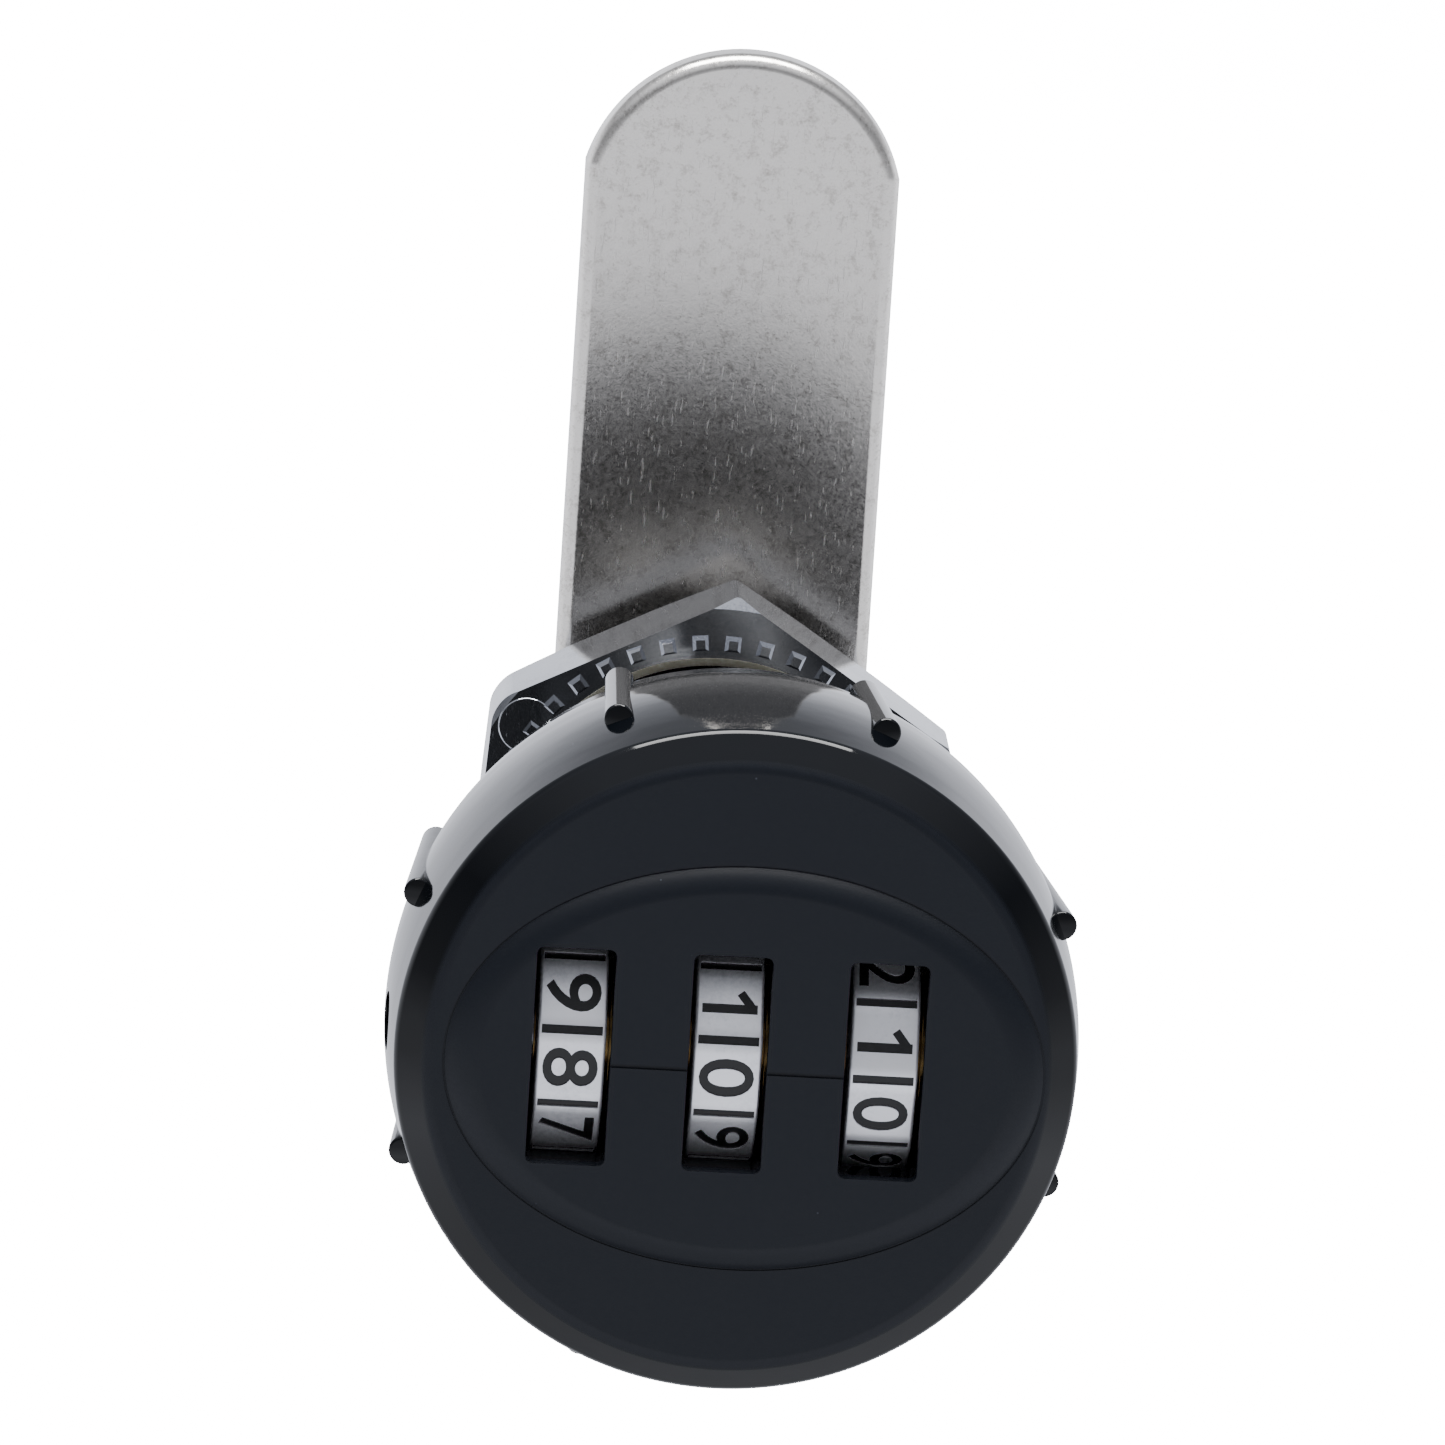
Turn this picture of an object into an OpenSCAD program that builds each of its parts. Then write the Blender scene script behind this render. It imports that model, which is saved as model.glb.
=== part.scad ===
// Keyless cam lock with three number dials.
// The knob carries the dials and turns a quarter turn in a threaded barrel that is clamped in a panel.
// X points right, Y points back through the panel, Z points up. The origin is on the lock's axis,
// in the plane where the barrel's flange seats on the panel.

/* [Knob cover] */
// Diameter of the cover at its front edge
knob_d = 32; // [31.5:0.5:40]
// How much smaller the radius is at the rear rim
knob_draft = 0.88; // [0.2:0.01:1.2]
// How far the side wall swells past the front edge
belly = 0.45; // [0.1:0.05:0.8]
// Depth of the side wall, from front edge to rear rim
head_depth = 16.2; // [16:0.2:20]
// Thickness of the side wall
side_wall = 1.6; // [1.2:0.1:2.2]
// Thickness of the front wall, without the raised pad
front_wall = 1.7; // [1.2:0.1:2.4]
// Width of the front bevel
bevel_w = 1.5; // [0.8:0.1:2]
// Depth of the front bevel
bevel_depth = 1.2; // [0.6:0.1:1.6]
// Gap between the rear rim and the panel
rim_gap = 0.5; // [0.3:0.1:1]

/* [Front pad and index] */
// Width of the raised oval pad
pad_w = 28; // [26.5:0.5:28.5]
// Height of the raised oval pad
pad_h = 19.4; // [14:0.2:22]
// How far the pad stands off the face
pad_rise = 0.6; // [0.3:0.1:0.9]
// How far the pad sits to the right of the axis
pad_shift = 0.35; // [0:0.05:0.4]
// Height of the engraved index line
index_w = 0.22; // [0.15:0.01:0.4]
// Depth of the engraved index line
index_depth = 0.15; // [0.1:0.01:0.3]

/* [Windows] */
// Width of a dial window
window_w = 3.72; // [3.6:0.02:4]
// Height of a dial window
window_h = 10.46; // [9:0.02:10.8]
// Corner radius of a dial window
window_corner = 0.35; // [0.2:0.05:0.8]
// How far the windows sit above the dials' axis
window_lift = 0.33; // [0:0.01:0.4]

/* [Grip ribs] */
// Number of ribs around the side wall
rib_count = 8; // [4:2:12]
// Diameter of a rib
rib_d = 1.4; // [0.8:0.1:1.8]
// Length of a rib, from the rear rim
rib_length = 12; // [6:0.2:13]

/* [Dials] */
// Diameter of a number ring across its ten corners
dial_d = 12; // [11:0.1:12.4]
// Width of a number ring
dial_w = 3.2; // [2.9:0.05:3.3]
// Distance from one dial to the next
dial_pitch = 7.32; // [7.2:0.02:7.8]
// Sideways place of the middle dial
dial_row_x = -0.47; // [-0.6:0.01:0]
// Numbers on each dial
digits = 10; // [10]
// Angle of each dial's nearest facet above straight ahead, in degrees
dial_tilt = [-3, -4.25, 17];
// How far the rings' corners sit behind the pad
dial_recess = 0.1; // [0:0.05:0.6]

/* [Gate sleeves and shaft] */
// Diameter of the dial shaft
shaft_d = 3; // [2.4:0.1:3.1]
// Outer diameter of a sleeve
sleeve_d = 4.6; // [4.3:0.05:4.8]
// Outer diameter of the clutch teeth
clutch_d = 5.4; // [5.2:0.05:5.6]
// Width of the clutch teeth along the shaft
clutch_w = 0.65; // [0.5:0.05:0.7]
// Number of clutch teeth
clutch_teeth = 20; // [20]
// Diameter of a gate disc
gate_disc_d = 7.2; // [7:0.05:7.4]
// Thickness of a gate disc
gate_disc_w = 0.6; // [0.5:0.05:0.7]
// How far the shaft slides when the reset pin pushes it
reset_travel = 0.9; // [0.8:0.05:1]
// Diameter of the reset hole in the cover
reset_hole_d = 2.8; // [2:0.1:3.4]

/* [Locking bar] */
// How far the bar lifts out of the barrel's ramp
bar_lift = 1; // [0.8:0.05:1.05]
// Thickness of the bar's plate
bar_t = 0.8; // [0.6:0.05:0.9]
// Width of a finger and of the tail
finger_w = 1.4; // [1:0.1:1.8]
// Distance of the tail from the lock's axis
tail_r = 9.5; // [9.2:0.1:9.8]
// Side of the tail
tail_w = 1.6; // [1.2:0.1:1.8]

/* [Barrel and nut] */
// Thread diameter of the barrel
thread_d = 19; // [18:0.5:20]
// Pitch of the thread
thread_pitch = 1; // [0.8:0.1:1.5]
// Length of the barrel behind its flange
barrel_length = 28.6; // [24:0.2:40]
// Distance across the barrel's two flats
barrel_flats = 16; // [15:0.5:17]
// Thickness of the barrel's flange
flange_t = 2.6; // [2.4:0.1:3]
// Distance across the nut's flats
nut_flats = 22.9; // [22.5:0.1:24]
// Thickness of the nut
nut_t = 5; // [3:0.5:8]
// Gap between the nut and the end of the barrel
nut_end_gap = 0.9; // [0.5:0.1:10]
// Rest angle of the nut, in degrees
nut_angle = 3.36; // [0:0.01:30]
// Number of teeth on the nut's clamping face
nut_teeth = 42; // [24:2:60]

/* [Spindle and cam] */
// Diameter of the spindle
spindle_d = 11; // [10:0.1:11.6]
// Side of the spindle's square
square_w = 7; // [6:0.1:7.4]
// Width of the cam
cam_w = 15.66; // [14:0.02:18]
// Reach of the cam from the lock's axis to its tip
cam_reach = 39.13; // [28:0.01:60]
// Thickness of the cam
cam_t = 2; // [1.5:0.1:3]
// Radius of the cam's tip
cam_tip_r = 8.13; // [8.1:0.01:9.5]
// Quarter turn of the knob, in degrees
turn = 90; // [90]

/* [Hidden] */
$fn = 96;

// Clearances
cut = 0.05;
plate_gap = 0.1;
skirt_gap = 0.35;
running = 0.05;
face_gap = 0.25;
square_gap = 0.05;
thread_gap = 0.06;
bore_gap = 0.08;

// Places along the lock's axis, from the front edge of the cover to its inside
edge_y = -rim_gap - head_depth;
face_y = edge_y - bevel_depth;
pad_y = face_y - pad_rise;
inside_y = face_y + front_wall;
knob_r = knob_d / 2;
rim_r = knob_r - knob_draft;
cavity_rim_r = rim_r - side_wall;
cavity_front_r = knob_r - side_wall;
rib_rear_r = rim_r + 0.2;
rib_lean = atan((knob_r + belly - rib_rear_r) / rib_length);

// Barrel flange, washer and back plate, stacked towards the front
flange_front_y = -flange_t;
plate_rear_y = flange_front_y - face_gap;
plate_t = 1.1;
plate_front_y = plate_rear_y - plate_t;
flange_r = cavity_rim_r - skirt_gap;
plate_r = cavity_rim_r - plate_gap;

// Dials
dial_r = dial_d / 2;
axis_y = pad_y + dial_recess + dial_r;
dial_x = [for (i = [-1:1]) dial_row_x + i * dial_pitch];
facet_step = 360 / digits;
ring_corner_r = dial_r - 0.08;
sleeve_r = sleeve_d / 2;
clutch_r = clutch_d / 2;
clutch_gap = 0.1;
shaft_r = shaft_d / 2;
half_dial = dial_w / 2;
clutch_end = half_dial - running;
clutch_start = clutch_end - clutch_w;
clutch_root_r = sleeve_r - 0.1;
clutch_duty = 0.42;

// Gate discs sit beside the rings, and the locking bar's fingers beside the discs' rims
gate_start = half_dial + face_gap;
gate_end = gate_start + gate_disc_w;
gate_r = gate_disc_d / 2;
tip_gap = 0.2;
gate_root_r = gate_r + tip_gap - bar_lift - 0.2;
gate_slot_w = finger_w + 0.3;
sleeve_start = -half_dial - running;
clip_t = 0.35;
clip_r = sleeve_r - 0.2;
clip_gap = 0.02;

// Walls of the carrier, one to the right of each dial and one at the left end
wall_t = 1;
wall_start = gate_end + clip_gap + clip_t + reset_travel + 0.23;
left_wall_end = sleeve_start - clip_gap - clip_t - face_gap;
wall_x = concat([dial_x[0] + left_wall_end - wall_t], [for (x = dial_x) x + wall_start]);
carrier_front_y = inside_y + 0.3;
carrier_r = cavity_rim_r + 0.45;
ledge_in = dial_r + 0.6;
ledge_t = 2.4;
boss_r = 1.7;
boss_ring_r = 11.9;
boss_angles = [60, 120, 240, 300];
pilot_r = 0.8;
screw_r = 0.9;
screw_head_r = 1.45;
screw_head_t = 0.6;
screw_length = 7;

// Locking bar
bar_rear_y = plate_front_y - plate_gap;
bar_front_y = bar_rear_y - bar_t;
bar_half = 1.6;
leg_half = 1.5;
finger_tip_y = axis_y + gate_r + tip_gap;
slot_gap = 0.3;
bar_slot_y = bar_front_y - bar_lift - slot_gap;
tail_depth = bar_lift - 0.2;
tail_tip_y = flange_front_y + tail_depth;
bar_spring_z = ledge_in + ledge_t / 2;
bar_spring_r = 0.75;
bar_spring_wire = 0.25;
bar_spring_length = 4;
bar_spring_y = bar_front_y - bar_spring_length;

// Ramp in the barrel's flange, cut in short steps that follow the tail
ramp_margin = 7;
ramp_steps = 13;
ramp_gap = 0.15;
ramp_in = tail_r - tail_w / 2 - 0.3;
ramp_out = tail_r + tail_w / 2 + 0.3;

// Shaft and its spring
shaft_left = wall_x[0] - 2;
shaft_right = wall_x[3] + wall_t + plate_gap;
shaft_tail_r = 0.6;
shaft_tail = 0.9;
axis_depth = (axis_y - edge_y) / head_depth;
cavity_at_axis = cavity_front_r - knob_draft * axis_depth;
reset_spring_r = 1.3;
reset_spring_wire = 0.25;
reset_spring_end = sqrt(pow(cavity_at_axis, 2) - pow(reset_spring_r, 2)) - 0.05;

// Detent spring and its rivets
detent_t = 0.25;
detent_z = -ledge_in;
detent_half_w = 1.8;
nib_r = 0.22;
rivet_r = 0.6;
rivet_head_r = 0.75;
rivet_head_t = 0.3;
rivet_depth = 1.5;
rivet_x = [for (i = [0, 1]) dial_x[i] + half_dial + 1.2];

// Barrel, nut, spindle and cam
thread_r = thread_d / 2;
thread_depth = 0.54 * thread_pitch;
thread_root_r = thread_r - thread_depth;
thread_relief = 1;
bore_r = spindle_d / 2 + bore_gap;
nut_y = barrel_length - nut_end_gap - nut_t;
nut_corner_r = nut_flats / sqrt(3);
nut_bore_r = thread_r + thread_gap;
nut_chamfer = 0.5;
tooth_ring_r = 10.85;
tooth_w = 0.8;
tooth_h = 0.35;
nut_spot_r = 1.45;
nut_spot_rise = 0.12;
stop_t = 1.2;
stop_y = barrel_length + 0.1;
stop_r = thread_root_r - 0.5;
stop_lug_angle = 22;
stop_lug_in = spindle_d / 2 + 0.9;
stop_lug_out = barrel_flats / 2 - 0.6;
stop_lug_depth = 1.2;
stop_margin = 1;
stop_recess_depth = stop_lug_depth + 0.25;
cam_y = stop_y + stop_t + 0.08;
cam_tip_z = cam_reach - cam_tip_r;
square_end_y = cam_y + cam_t - 0.2;
square_half_diagonal = square_w * 0.62;
bolt_r = 3;
bolt_depth = 9;
bolt_head_flats = 10;
bolt_head_t = 3.6;
washer_r = 5.2;
washer_t = 1;
washer_split = 0.8;
bolt_head_y = cam_y + cam_t + washer_t;

// Turns a profile of [radius, y] points about the lock's axis
module turned(points) {
    rotate([90, 0, 0])
        rotate_extrude()
            polygon([for (p = points) [p[0], -p[1]]]);
}

// A part of a ring about the lock's axis, with angles seen from the front
module ring_sector(r_in, r_out, y0, y1, start, span) {
    rotate([90, 0, 0])
        rotate([0, 0, start])
            rotate_extrude(angle = span)
                translate([r_in, -y1])
                    square([r_out - r_in, y1 - y0]);
}

// A flat shape drawn as [x, z] and given its depth along the lock's axis
module slab(y0, y1) {
    translate([0, y1, 0])
        rotate([90, 0, 0])
            linear_extrude(y1 - y0)
                children();
}

module rod_y(r, y0, y1) {
    translate([0, y1, 0])
        rotate([90, 0, 0])
            cylinder(r = r, h = y1 - y0);
}

module rod_x(r, x0, x1) {
    translate([x0, 0, 0])
        rotate([0, 90, 0])
            cylinder(r = r, h = x1 - x0);
}

// A box given by its low and high corners
module block(low, high) {
    translate(low)
        cube(high - low);
}

// Puts children on the dials' axis
module on_axis() {
    translate([0, axis_y, 0])
        children();
}

module rounded_rect(w, h, r) {
    square([w - 2 * r, h], center = true);
    square([w, h - 2 * r], center = true);
    for (sx = [-1, 1], sz = [-1, 1])
        translate([sx * (w / 2 - r), sz * (h / 2 - r)])
            circle(r);
}

module oval(w, h) {
    polygon([for (a = [0:5:355]) [w / 2 * cos(a), h / 2 * sin(a)]]);
}

module at_bosses() {
    for (a = boss_angles)
        translate([boss_ring_r * cos(a), 0, boss_ring_r * sin(a)])
            children();
}

// A toothed outline about the dials' axis, with teeth of a given share of their pitch
module toothed(root_r, tip_r, duty) {
    step = 360 / clutch_teeth;
    half = step * duty / 2;
    polygon([for (i = [0:clutch_teeth - 1], k = [0:3])
        let (a = i * step + [-half, -half, half, half][k], r = [root_r, tip_r, tip_r, root_r][k])
        [r * cos(a), r * sin(a)]]);
}

module knob_cover() {
    color("#15171c")
    union() {
        difference() {
            union() {
                turned([[0, inside_y + 1], [0, face_y], [knob_r - bevel_w, face_y], [knob_r, edge_y],
                    [knob_r + 0.7 * belly, edge_y + 0.2 * head_depth], [knob_r + belly, edge_y + 0.42 * head_depth],
                    [knob_r + 0.3 * belly, edge_y + 0.67 * head_depth], [rim_r + belly, edge_y + 0.85 * head_depth],
                    [rim_r, -rim_gap], [rim_r - side_wall / 2, -rim_gap], [rim_r - side_wall / 2, inside_y + 1]]);
                translate([pad_shift, 0, 0])
                    slab(pad_y, face_y + cut)
                        oval(pad_w, pad_h);
                cover_ribs();
            }
            turned([[0, inside_y], [cavity_front_r, inside_y], [cavity_rim_r, -rim_gap],
                [cavity_rim_r, 0], [0, 0]]);
            for (x = dial_x)
                translate([x, 0, window_lift])
                    slab(pad_y - 1, inside_y + 1)
                        rounded_rect(window_w, window_h, window_corner);
            for (i = [0, 1])
                block([dial_x[i] + window_w / 2 - cut, pad_y - 1, -index_w / 2],
                    [dial_x[i + 1] - window_w / 2 + cut, pad_y + index_depth, index_w / 2]);
            on_axis()
                rod_x(reset_hole_d / 2, -knob_r - 1, -cavity_rim_r + 1);
        }
        cover_bosses();
    }
}

// Round ribs that lie along the side wall and stand out of it
module cover_ribs() {
    for (i = [0:rib_count - 1])
        rotate([0, (i + 0.5) * 360 / rib_count, 0])
            translate([rib_rear_r, -rim_gap - cut, 0])
                rotate([90, 0, 0])
                    rotate([0, rib_lean, 0])
                        cylinder(d = rib_d, h = rib_length, $fn = 48);
}

// Posts inside the cover that take the screws of the back plate
module cover_bosses() {
    difference() {
        at_bosses()
            rod_y(boss_r, inside_y - cut, plate_front_y);
        at_bosses()
            rod_y(pilot_r, plate_front_y - screw_length, plate_front_y + 1);
    }
}

module dial_carrier() {
    color("#8d8f92")
    difference() {
        intersection() {
            rod_y(carrier_r, carrier_front_y, plate_front_y);
            union() {
                for (x = wall_x)
                    block([x, carrier_front_y, -ledge_in - ledge_t],
                        [x + wall_t, plate_front_y, ledge_in + ledge_t]);
                for (s = [0, 1])
                    mirror([0, 0, s])
                        block([wall_x[0], carrier_front_y, ledge_in],
                            [wall_x[3] + wall_t, plate_front_y, ledge_in + ledge_t]);
            }
        }
        on_axis()
            rod_x(shaft_r + running, -knob_r, knob_r);
        at_bosses()
            rod_y(boss_r + 0.2, carrier_front_y - 1, plate_front_y + 1);
        block([-knob_r, bar_slot_y, -bar_half - slot_gap], [knob_r, 0, bar_half + slot_gap]);
        block([-leg_half - slot_gap, bar_slot_y, -knob_r], [leg_half + slot_gap, 0, knob_r]);
        for (s = [-1, 1])
            translate([0, 0, s * bar_spring_z])
                rod_y(bar_spring_r + plate_gap, bar_spring_y, 0);
        block([dial_x[0], axis_y - detent_half_w - plate_gap, detent_z],
            [dial_x[2], axis_y + detent_half_w + plate_gap, detent_z + detent_t + plate_gap]);
        at_rivets()
            cylinder(r = rivet_r, h = rivet_depth + detent_t);
    }
}

module at_rivets() {
    for (x = rivet_x)
        translate([x, axis_y, detent_z - rivet_depth])
            children();
}

module back_plate() {
    color("#9b9ea2")
    difference() {
        rod_y(plate_r, plate_front_y, plate_rear_y);
        block([-square_w / 2 - 0.02, plate_front_y - 1, -square_w / 2 - 0.02],
            [square_w / 2 + 0.02, 0, square_w / 2 + 0.02]);
        block([-tail_w / 2 - 0.15, plate_front_y - 1, -tail_r - tail_w / 2 - 0.15],
            [tail_w / 2 + 0.15, 0, -tail_r + tail_w / 2 + 0.15]);
        at_bosses() {
            rod_y(screw_r + 0.1, plate_front_y - 1, 0);
            rod_y(screw_head_r + 0.1, plate_rear_y - screw_head_t, 0);
        }
    }
}

module cover_screws() {
    color("#6e7176")
    at_bosses()
        difference() {
            union() {
                rod_y(pilot_r, plate_front_y - screw_length + 0.5, plate_front_y);
                rod_y(screw_r, plate_front_y, plate_rear_y - 0.3);
                rod_y(screw_head_r, plate_rear_y - screw_head_t, plate_rear_y - 0.05);
            }
            for (a = [0, 90])
                rotate([0, a, 0])
                    block([-0.9, plate_rear_y - 0.35, -0.15], [0.9, 0, 0.15]);
        }
}

// A number ring: ten facets with softened corners, and notches for the sleeve's clutch teeth
module dial_ring(i) {
    color("#c9cacc")
    translate([dial_x[i], axis_y, 0])
        rotate([-dial_tilt[i], 0, 0])
            rotate([0, 90, 0])
                difference() {
                    intersection() {
                        rotate([0, 0, facet_step / 2])
                            translate([0, 0, -half_dial])
                                cylinder(r = dial_r, h = dial_w, $fn = 10);
                        translate([0, 0, -half_dial])
                            cylinder(r = ring_corner_r, h = dial_w);
                    }
                    translate([0, 0, -half_dial - 1])
                        cylinder(r = sleeve_r + clutch_gap, h = dial_w + 2);
                    translate([0, 0, clutch_start - clutch_gap])
                        rotate([0, 0, dial_tilt[i]])
                            linear_extrude(dial_w)
                                toothed(sleeve_r, clutch_r + clutch_gap, clutch_duty + 0.16);
                }
}

// A gate sleeve: tube, clutch teeth and the slotted gate disc
module gate_sleeve(i) {
    color("#b3925a")
    translate([dial_x[i], axis_y, 0])
        difference() {
            union() {
                rod_x(sleeve_r, sleeve_start, gate_start + cut);
                translate([clutch_start, 0, 0])
                    rotate([0, 90, 0])
                        linear_extrude(clutch_w)
                            toothed(clutch_root_r, clutch_r, clutch_duty);
                rod_x(gate_r, gate_start, gate_end);
            }
            rod_x(shaft_r + running, -dial_w, dial_w);
            block([gate_start - 0.1, gate_root_r, -gate_slot_w / 2], [gate_end + 1, gate_r + 1, gate_slot_w / 2]);
        }
}

module dial_shaft() {
    color("#a9acb0")
    on_axis()
        union() {
            rod_x(shaft_r, shaft_left, shaft_right);
            rod_x(shaft_tail_r, shaft_right - cut, shaft_right + shaft_tail);
        }
}

// Open clips that hold the sleeves in place along the shaft
module shaft_clips() {
    color("#7c7f84")
    for (x = dial_x, side = [sleeve_start - clip_gap - clip_t, gate_end + clip_gap])
        translate([x + side, axis_y, 0])
            difference() {
                rod_x(clip_r, 0, clip_t);
                rod_x(shaft_r, -1, 1);
                block([-1, -clip_r - 1, -0.6], [1, 0, 0.6]);
            }
}

module spring_tube(r, wire, length) {
    difference() {
        cylinder(r = r, h = length);
        translate([0, 0, -1])
            cylinder(r = r - wire, h = length + 2);
    }
}

module reset_spring() {
    color("#b9bcc0")
    on_axis()
        translate([shaft_right, 0, 0])
            rotate([0, 90, 0])
                spring_tube(reset_spring_r, reset_spring_wire, reset_spring_end - shaft_right);
}

// A leaf under the dials, with a nib for each dial's facets
module detent_spring() {
    color("#b9bcc0")
    difference() {
        union() {
            block([dial_x[0] - half_dial, axis_y - detent_half_w, detent_z],
                [dial_x[2] + half_dial, axis_y + detent_half_w, detent_z + detent_t]);
            for (x = dial_x)
                translate([0, axis_y, detent_z + detent_t])
                    rod_x(nib_r, x - 1, x + 1);
        }
        at_rivets()
            cylinder(r = rivet_r, h = rivet_depth + 1);
        for (x = dial_x, s = [-1, 1])
            block([x - half_dial - 0.6, axis_y + s * 1.2 - 0.2, detent_z - 1],
                [x + half_dial - 0.2, axis_y + s * 1.2 + 0.2, detent_z + 1]);
    }
}

module detent_rivets() {
    color("#b3925a")
    at_rivets() {
        cylinder(r = rivet_r, h = rivet_depth + detent_t + cut);
        translate([0, 0, rivet_depth + detent_t])
            cylinder(r = rivet_head_r, h = rivet_head_t);
    }
}

// Plate with three fingers for the gates and a tail for the barrel's ramp
module locking_bar() {
    color("#a7a9ac")
    union() {
        block([dial_x[0] + gate_start - 0.6, bar_front_y, -bar_half],
            [dial_x[2] + gate_end + 0.6, bar_rear_y, bar_half]);
        block([-leg_half, bar_front_y, -tail_r - tail_w / 2],
            [leg_half, bar_rear_y, ledge_in + ledge_t - 0.4]);
        for (x = dial_x)
            block([x + gate_start + 0.02, finger_tip_y, -finger_w / 2],
                [x + gate_end - 0.02, bar_rear_y, finger_w / 2]);
        block([-tail_w / 2, bar_front_y, -tail_r - tail_w / 2],
            [tail_w / 2, tail_tip_y, -tail_r + tail_w / 2]);
    }
}

module bar_springs() {
    color("#b9bcc0")
    for (s = [-1, 1])
        translate([0, bar_front_y, s * bar_spring_z])
            rotate([90, 0, 0])
                spring_tube(bar_spring_r, bar_spring_wire, bar_spring_length);
}

// Spindle: square boss for the back plate, round bearing length, square and threaded hole for the cam
module spindle() {
    color("#a6a8ab")
    difference() {
        union() {
            block([-square_w / 2, plate_front_y + 0.05, -square_w / 2], [square_w / 2, plate_rear_y + cut, square_w / 2]);
            rod_y(spindle_d / 2, plate_rear_y, barrel_length - plate_gap);
            intersection() {
                block([-square_w / 2, barrel_length - 1, -square_w / 2], [square_w / 2, square_end_y, square_w / 2]);
                rod_y(square_half_diagonal, barrel_length - 1, square_end_y);
            }
        }
        rod_y(bolt_r, square_end_y - bolt_depth, square_end_y + 1);
    }
}

module thrust_washer() {
    color("#e8e6df")
    difference() {
        rod_y(spindle_d / 2 + 2.2, plate_rear_y + 0.02, flange_front_y - 0.02);
        rod_y(spindle_d / 2 + 0.1, plate_rear_y - 1, 0);
    }
}

module barrel() {
    color("#1b1d21")
    difference() {
        union() {
            rod_y(flange_r, flange_front_y, 0);
            intersection() {
                threaded_body();
                block([-barrel_flats / 2, -1, -thread_d], [barrel_flats / 2, barrel_length + 1, thread_d]);
            }
        }
        rod_y(bore_r, flange_front_y - 1, barrel_length + 1);
        ramp();
        ring_sector(stop_lug_in - 0.2, stop_lug_out + 0.15, barrel_length - stop_recess_depth, barrel_length + 1,
            90 - turn - stop_lug_angle / 2 - stop_margin, turn + stop_lug_angle + 2 * stop_margin);
    }
}

// Round body with a groove for each turn of the thread
module threaded_body() {
    turns = floor((barrel_length - 2 * thread_relief) / thread_pitch);
    turned(concat([[0, -cut], [thread_r, -cut], [thread_r, thread_relief], [thread_root_r, thread_relief]],
        [for (i = [0:turns - 1], k = [0:3])
            [[thread_r, thread_r, thread_root_r, thread_root_r][k],
                thread_relief + (i + [0.35, 0.5, 0.85, 1][k]) * thread_pitch]],
        [[thread_root_r, barrel_length], [0, barrel_length]]));
}

// The tail's path in the flange, deepest where the knob rests: each step is cut back to the start
module ramp() {
    step = (turn + 2 * ramp_margin) / ramp_steps;
    for (k = [0:ramp_steps - 1])
        let (from = -ramp_margin + k * step, rise = bar_lift * max(0, from - ramp_margin) / turn)
        ring_sector(ramp_in, ramp_out, flange_front_y - 1, tail_tip_y + ramp_gap - rise,
            270 - from - step, from + step + ramp_margin);
}

// Hexagon nut with rounded corners and a toothed clamping face towards the panel
module mounting_nut() {
    color("#c3c5c8")
    rotate([0, nut_angle, 0])
        difference() {
            union() {
                intersection() {
                    translate([0, nut_y + nut_t, 0])
                        rotate([90, 0, 0])
                            rotate([0, 0, 30])
                                cylinder(r = nut_corner_r, h = nut_t, $fn = 6);
                    turned([[0, nut_y], [nut_flats / 2 + 0.6, nut_y], [nut_corner_r - 0.25, nut_y + 0.5],
                        [nut_corner_r - 0.25, nut_y + nut_t - 0.5], [nut_flats / 2 + 0.6, nut_y + nut_t],
                        [0, nut_y + nut_t]]);
                }
                for (i = [0:nut_teeth - 1])
                    rotate([0, i * 360 / nut_teeth, 0])
                        block([-tooth_w / 2, nut_y - tooth_h, tooth_ring_r - tooth_w / 2],
                            [tooth_w / 2, nut_y + cut, tooth_ring_r + tooth_w / 2]);
                rotate([0, -60, 0])
                    translate([0, 0, nut_flats / 2 + 0.1])
                        rod_y(nut_spot_r, nut_y - nut_spot_rise, nut_y + cut);
            }
            rod_y(nut_bore_r, nut_y - 1, nut_y + nut_t + 1);
            turned([[0, nut_y - 1], [nut_bore_r + nut_chamfer, nut_y - 1], [nut_bore_r + nut_chamfer, nut_y],
                [nut_bore_r, nut_y + nut_chamfer], [0, nut_y + nut_chamfer]]);
        }
}

module square_hole(y0, y1) {
    intersection() {
        block([-square_w / 2 - square_gap, y0, -square_w / 2 - square_gap],
            [square_w / 2 + square_gap, y1, square_w / 2 + square_gap]);
        rod_y(square_half_diagonal + square_gap, y0, y1);
    }
}

module stop_washer() {
    color("#9fa2a6")
    difference() {
        union() {
            rod_y(stop_r, stop_y, stop_y + stop_t);
            ring_sector(stop_lug_in, stop_lug_out, barrel_length - stop_lug_depth, stop_y + cut,
                90 - stop_lug_angle / 2, stop_lug_angle);
        }
        square_hole(stop_y - 1, stop_y + stop_t + 1);
    }
}

// Straight latch plate with a square hole, a round foot and a wide round tip
module cam() {
    color("#b9b6b0")
    difference() {
        slab(cam_y, cam_y + cam_t) {
            circle(cam_w / 2);
            intersection() {
                translate([-cam_w / 2, 0])
                    square([cam_w, cam_reach]);
                union() {
                    translate([-cam_w, 0])
                        square([2 * cam_w, cam_tip_z]);
                    translate([0, cam_tip_z])
                        circle(cam_tip_r);
                }
            }
        }
        square_hole(cam_y - 1, cam_y + cam_t + 1);
    }
}

module spring_washer() {
    color("#8a8d91")
    difference() {
        rod_y(washer_r, cam_y + cam_t, bolt_head_y);
        rod_y(bolt_r + 0.15, cam_y, bolt_head_y + 1);
        block([0, cam_y, -washer_split / 2], [washer_r + 1, bolt_head_y + 1, washer_split / 2]);
    }
}

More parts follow.
